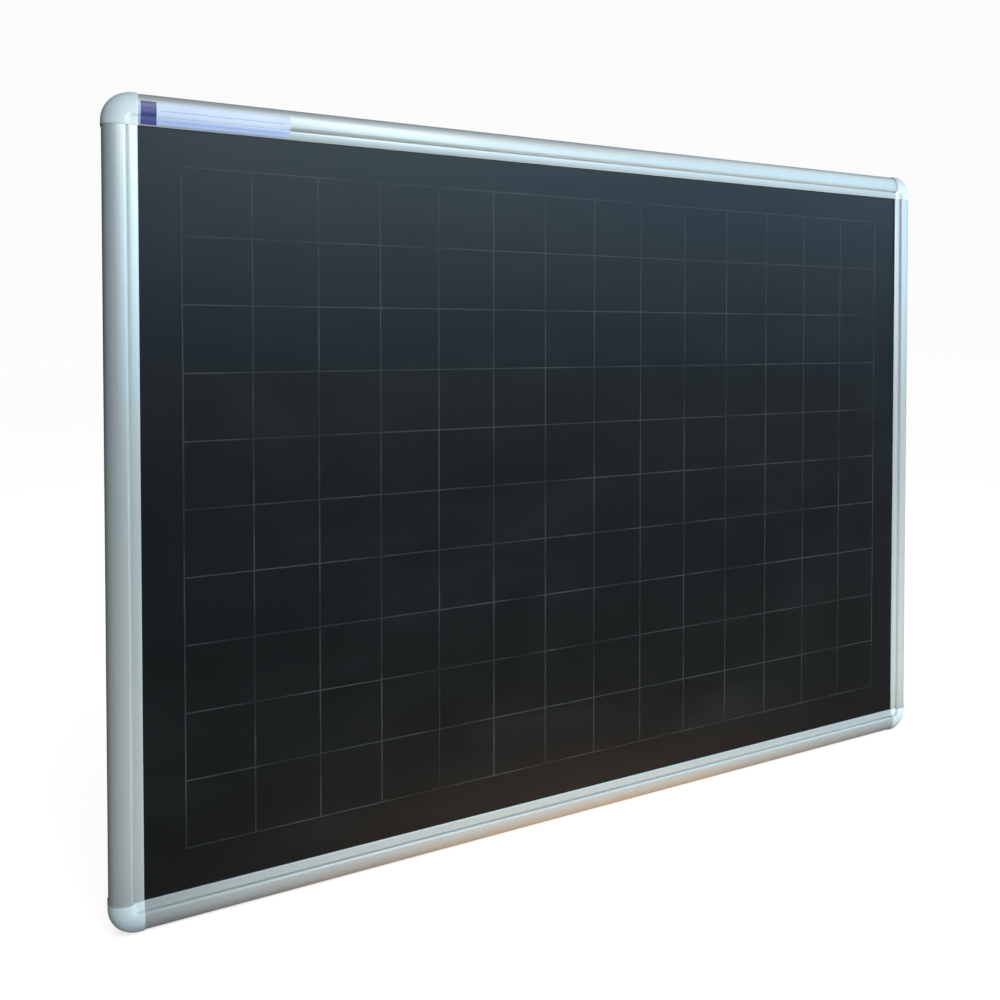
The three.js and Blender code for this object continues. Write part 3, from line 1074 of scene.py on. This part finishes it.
# A screw along Y: its head's seat is at 0 and its shank points towards -Y.
def makeScrew(name, size):
    shank, head, height = size["shank"], size["head"], size["headHeight"]
    length, tip = size["length"], size["tip"]
    core = shank * screws["core"]
    rim, bevel = screws["rim"] * height, screws["rimBevel"]
    dome = arcPoints(0, rim, head, height - rim, 0, 90, screws["domeSteps"])
    profile = [(0, -length), (core * screws["point"], -length), (core, tip - length),
               (core, -screws["runOut"]), (shank, 0), (head - bevel, 0), (head, bevel), *dome]
    screw = turning(name, profile, screws["sides"])

    # The thread: a three-sided ridge wound up the shank by the screw modifier
    pitch, foot = screws["pitch"], screws["ridge"] * screws["pitch"]
    start = tip - length + screws["ridgeStart"] * pitch
    sunk = core - screws["ridgeSunk"]
    ridge = drawFace("ridge", [Vector((sunk, start, 0)), Vector((shank, start + foot / 2, 0)),
                               Vector((sunk, start + foot, 0))])
    bpy.ops.mesh.delete(type="ONLY_FACE")
    stopEditing()
    turns = int((-start - pitch) / pitch)
    winding = addModifier(ridge, "SCREW")
    winding.axis = "Y"
    winding.screw_offset = pitch
    winding.iterations = turns
    winding.steps = screws["threadSteps"]
    winding.render_steps = screws["threadSteps"]
    winding.use_merge_vertices = False
    applyNewest(ridge)
    startEditing(ridge)
    weld()
    bpy.ops.mesh.select_all(action="DESELECT")
    bpy.ops.mesh.select_non_manifold()
    bpy.ops.mesh.fill_holes(sides=3)
    weld()
    stopEditing()
    combine(screw, ridge, "UNION")

    # The cross recess, cut by two wedges
    arm, half = screws["recessSpan"] / 2, screws["recessWidth"] / 2
    floor = height - screws["recessDepth"]
    for turn in (0, quarterTurn):
        wedge = blockBetween("wedge", (-arm, floor, -half), (arm, 2 * height, half))
        startEditing(wedge)
        pickFaces(1, floor)
        bpy.ops.transform.resize(value=screws["recessTaper"], center_override=(0, floor, 0))
        stopEditing()
        wedge.matrix_world = Matrix.Rotation(turn, 4, "Y")
        combine(screw, settle(wedge), "DIFFERENCE")
    smooth(screw)
    return screw


screwModels = {kind: makeScrew(kind + "Screw", screws[kind]) for kind in ("rail", "hanger")}
for body, members in frame["record"]["behaviour"]["bodies"].items():
    for node in members:
        if not node.endswith("_screw"):
            continue
        kind = "hanger" if "hanger" in node else "rail"
        low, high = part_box(node)
        middle = (low + high) / 2
        seat = low.y + screws[kind]["length"]
        turnX, turnZ = screws["driven"]
        driven = math.radians(middle.x * turnX + middle.z * turnZ)
        place = (middle.x, seat, middle.z)
        piece = placedCopy(screwModels[kind], pieceName(node), driven, place)
        finishPiece(piece, body, node, finishes["screw"])
for model in screwModels.values():
    bpy.data.objects.remove(model)

print("Hangers")
strap = {
    "thickness": 0.76 * mm,
    "wireRadius": 1.25 * mm,
    "pivotPlay": 0.2 * mm,
    "layer": 0.8 * mm,
    "width": 12 * mm,
    "length": 14 * mm,
    "neck": 4.5 * mm,
    "screwHole": 1.75 * mm,
    "screwDrop": 9 * mm,
    "edgeRound": 0.12 * mm,
    "foldEnd": -40,  # degrees, where the fold leaves the wire's round
    "foldSteps": 28,
    "endSteps": 24,
}
ring = {
    "width": 20 * mm,
    "height": 26 * mm,
    "cornerRadius": 3.5 * mm,
    "buttGap": 0.4 * mm,
    "endRound": 0.2 * mm,
    "sides": 24,
    "bendSteps": 14,
}


# The strap: a strip folded round the wire, its two layers lying on each other below the pivot.
# The pivot is at Z = 0 and the seat at Y = 0.
def makeStrap():
    bore = strap["wireRadius"] + strap["pivotPlay"]
    layer, half = strap["layer"], strap["width"] / 2
    eye = bore + layer
    bend = bore + layer / 2
    folded = arcPoints(eye, 0, bend, bend, 180, strap["foldEnd"], strap["foldSteps"])
    line = [(layer / 2, -strap["length"]), *folded, (1.5 * layer, -strap["neck"]),
            (1.5 * layer, -strap["length"])]
    piece = ribbon("strap", [Vector((-half, y, z)) for y, z in line],
                   Vector((strap["width"], 0, 0)), strap["thickness"])

    # Round the lower end: what lies inside a stadium-shaped plan is kept
    plan = [(half, eye), (-half, eye),
            *arcPoints(0, half - strap["length"], half, half, 180, 360, strap["endSteps"])]
    keep = prism("keep", [Vector((x, -eye, z)) for x, z in plan], Vector((0, 4 * eye, 0)))
    combine(piece, keep, "INTERSECT")
    drill(piece, strap["screwHole"], 0, -strap["screwDrop"], -eye, 3 * eye)
    soften(piece, strap["edgeRound"])
    smooth(piece)
    return piece


# The ring: wire bent to a D, its ends meeting in the strap. The pivot is at 0.
def makeRing():
    half, corner = ring["width"] / 2, ring["cornerRadius"]
    straight = half - corner - ring["buttGap"] / 2
    bend = half - ring["height"]
    deselectAll()
    bpy.ops.mesh.primitive_circle_add(
        vertices=ring["sides"], radius=strap["wireRadius"], fill_type="NGON",
        location=(ring["buttGap"] / 2, 0, 0), rotation=(0, quarterTurn, 0),
    )
    piece = settle(bpy.context.object)
    startEditing(piece)
    bpy.ops.mesh.select_all(action="SELECT")

    def turnWire(centre, angle, steps):
        bpy.ops.mesh.spin(steps=steps, angle=-angle, center=centre, axis=(0, 1, 0))

    extrude(Vector((straight, 0, 0)))
    turnWire((half - corner, 0, -corner), quarterTurn, ring["bendSteps"])
    extrude(Vector((0, 0, bend + corner)))
    turnWire((0, 0, bend), 2 * quarterTurn, 3 * ring["bendSteps"])
    extrude(Vector((0, 0, -corner - bend)))
    turnWire((corner - half, 0, -corner), quarterTurn, ring["bendSteps"])
    extrude(Vector((straight, 0, 0)))
    weld()
    stopEditing()
    soften(piece, ring["endRound"], segments=3)
    smooth(piece, angle=45)
    return piece


strapModel, ringModel = makeStrap(), makeRing()
for side in ("left", "right"):
    pivot = next(joint for joint in frame["joints"] if joint["name"] == f"{side}_ring_swing")
    place = Vector(pivot["pos_m"])
    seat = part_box(f"{side}_hanger_strap")[0].y
    piece = placedCopy(strapModel, f"{side}Strap", 0, (place.x, seat, place.z))
    finishPiece(piece, "board", f"{side}_hanger_strap", finishes["hanger"])
    piece = placedCopy(ringModel, f"{side}Ring", 0, place)
    finishPiece(piece, f"{side}_ring", f"{side}_hanger_ring", finishes["hanger"])
bpy.data.objects.remove(strapModel)
bpy.data.objects.remove(ringModel)

print("Floor and light")
studio = {
    "floorSize": 40,
    # The floor as the camera sees it, lifted to near white and fading into the backdrop
    "seenMottling": ((0.88, 0.84, 0.82), (0.8976, 0.8568, 0.8364)),
    "seenGlow": (0.68, 0.66, 0.65),
    "seenFade": (0.7, 2.5),  # from how far out to how far out
    "backdrop": (0.97, 0.97, 0.97),
    # As the board's gloss meets it, painted light and shade: a warm glowing pool close by, darker further out and
    # towards the left
    "floorNear": (0.66, 0.43, 0.27),
    "floorFar": (0.24, 0.19, 0.155),
    "nearGlow": (0.32, 0.16, 0.06),
    "nearReach": 0.25,
    "nearShape": (0.5, 1.0, 0.0),  # twice as long along X as along Y
    "nearSide": (-0.42, -0.12),  # from where to where along X it rises to its full
    "nearLeft": 0.4,  # what there is of it further left
    # As its satin parts meet it: a soft light painted on the floor in front of the board, lower further out
    "softNear": (3.2, 3.6, 3.7),
    "softFar": (1.6, 1.8, 1.9),
    "softReach": (-0.2, -0.7),  # from where to where along Y it falls off
    "softSide": (-0.46, -0.31),  # where it sets in along X
    "softEdge": (-0.03, -0.065),  # and along Y
    # The sky from straight down to straight up, by the sine of the height halved and raised by half
    "sky": [
        (0.48, (0.20, 0.20, 0.20)),
        (0.52, (0.30, 0.38, 0.46)),
        (0.60, (0.72, 1.25, 1.80)),
        (0.67, (0.90, 1.50, 1.95)),
        (0.75, (1.10, 1.45, 1.60)),
        (0.84, (0.90, 1.00, 1.05)),
        (0.93, (0.20, 0.21, 0.22)),
    ],
    # How bright the sky is to the left of the board and behind it, against its front, and
    # between which directions that changes
    "leftShare": 0.08,
    "leftTurn": (-0.42, 0.12),
    "behindShare": 0.12,
    "behindTurn": (-0.2, 0.4),
}
# Each soft light: where it stands, its width and height, its power and its colour
softLights = {
    "windowLight": ((0.9, -3.4, 1.8), (3.0, 1.2), 12, (0.85, 0.95, 1.0)),
    "stripLight": ((-0.25, -0.75, 0.95), (0.9, 0.35), 3.0, (0.92, 0.98, 1.0)),
    "backLight": ((1.6, 3.4, 1.1), (3.2, 2.0), 75, (1.0, 0.98, 0.95)),
}
black = (0, 0, 0)


def lengthOf(tree, vector):
    node = addNode(tree, "ShaderNodeVectorMath", {0: vector}, operation="LENGTH")
    return node.outputs["Value"]


def makeFloor():
    deselectAll()
    floorLevel = cadBox[0].z
    bpy.ops.mesh.primitive_plane_add(size=studio["floorSize"], location=(0, 0, floorLevel))
    floor = settle(bpy.context.object)
    floor.name = "floor"
    material, tree, shader, place = newMaterial("paleFloor")
    parts = partsOf(tree, place)
    rays = addNode(tree, "ShaderNodeLightPath").outputs

    patches = noise(tree, place, scale=1.5, detail=3.0, roughness=0.5)
    seen = mixColours(tree, ranged(tree, patches, 0.3, 0.7), *studio["seenMottling"])
    fade = ranged(tree, lengthOf(tree, place), *studio["seenFade"], soft=True)
    seen = mixColours(tree, fade, seen, black)
    seenGlow = mixColours(tree, fade, studio["seenGlow"], studio["backdrop"])

    # Painted light and shade that only reflections and bounced light meet: a warm glow close by the board, darker
    # further out and towards the left
    away = lengthOf(tree, scaled(tree, place, studio["nearShape"]))
    near = ranged(tree, away, 0.0, studio["nearReach"], 1.0, 0.0, soft=True)
    side = ranged(tree, parts["X"], *studio["nearSide"], studio["nearLeft"], 1.0, soft=True)
    near = maths(tree, "MULTIPLY", near, side)
    met = mixColours(tree, near, studio["floorFar"], studio["floorNear"])
    glow = mixColours(tree, near, black, studio["nearGlow"])

    # A painted soft light on the floor in front of the board, for bounced light only
    inFront = maths(tree, "MULTIPLY", ranged(tree, parts["X"], *studio["softSide"], soft=True),
                    ranged(tree, parts["Y"], *studio["softEdge"], soft=True))
    further = ranged(tree, parts["Y"], *studio["softReach"], soft=True)
    soft = mixColours(tree, further, studio["softNear"], studio["softFar"])
    glow = mixColours(tree, maths(tree, "MULTIPLY", inFront, rays["Is Diffuse Ray"]), glow, soft)

    feedAll(tree, shader, {
        "Base Color": mixColours(tree, rays["Is Camera Ray"], met, seen),
        "Emission Color": mixColours(tree, rays["Is Camera Ray"], glow, seenGlow),
        "Emission Strength": 1.0,
        "Roughness": 0.9,
        "Specular IOR Level": 0.1,
    })
    material.cycles.emission_sampling = "NONE"
    floor.data.materials.append(material)


# The room: a sky that brightens upwards and is dimmer on the left and behind, and a plain pale
# backdrop where the camera looks past the board.
def makeSky():
    world = bpy.data.worlds.new("room")
    bpy.context.scene.world = world
    world.use_nodes = True
    tree = world.node_tree
    place = addNode(tree, "ShaderNodeTexCoord").outputs["Generated"]
    parts = partsOf(tree, place)
    shade = ramp(tree, maths(tree, "MULTIPLY_ADD", parts["Z"], 0.5, 0.5), studio["sky"])
    side = ranged(tree, parts["X"], *studio["leftTurn"], studio["leftShare"], 1.0)
    behind = ranged(tree, parts["Y"], *studio["behindTurn"], 1.0, studio["behindShare"], soft=True)
    dim = addNode(tree, "ShaderNodeVectorMath", {0: shade}, operation="SCALE")
    feed(tree, maths(tree, "MULTIPLY", side, behind), dim.inputs["Scale"])
    light = tree.nodes["Background"]
    feed(tree, dim.outputs["Vector"], light.inputs["Color"])
    backdrop = addNode(tree, "ShaderNodeBackground", {"Color": studio["backdrop"]})
    rays = addNode(tree, "ShaderNodeLightPath").outputs
    both = addNode(tree, "ShaderNodeMixShader",
                   {0: rays["Is Camera Ray"], 1: light.outputs[0], 2: backdrop.outputs[0]})
    feed(tree, both.outputs[0], tree.nodes["World Output"].inputs["Surface"])


def addSoftLights():
    for name, (place, size, power, colour) in softLights.items():
        facing = -Vector(place)
        deselectAll()
        bpy.ops.object.light_add(type="AREA", location=place,
                                 rotation=facing.to_track_quat("-Z", "Y").to_euler())
        light = bpy.context.object
        light.name = name
        light.data.shape = "RECTANGLE"
        light.data.size, light.data.size_y = size
        light.data.energy = power
        light.data.color = colour
        light.visible_camera = False


bpy.context.scene.view_settings.view_transform = "Standard"
makeFloor()
makeSky()
addSoftLights()
deselectAll()
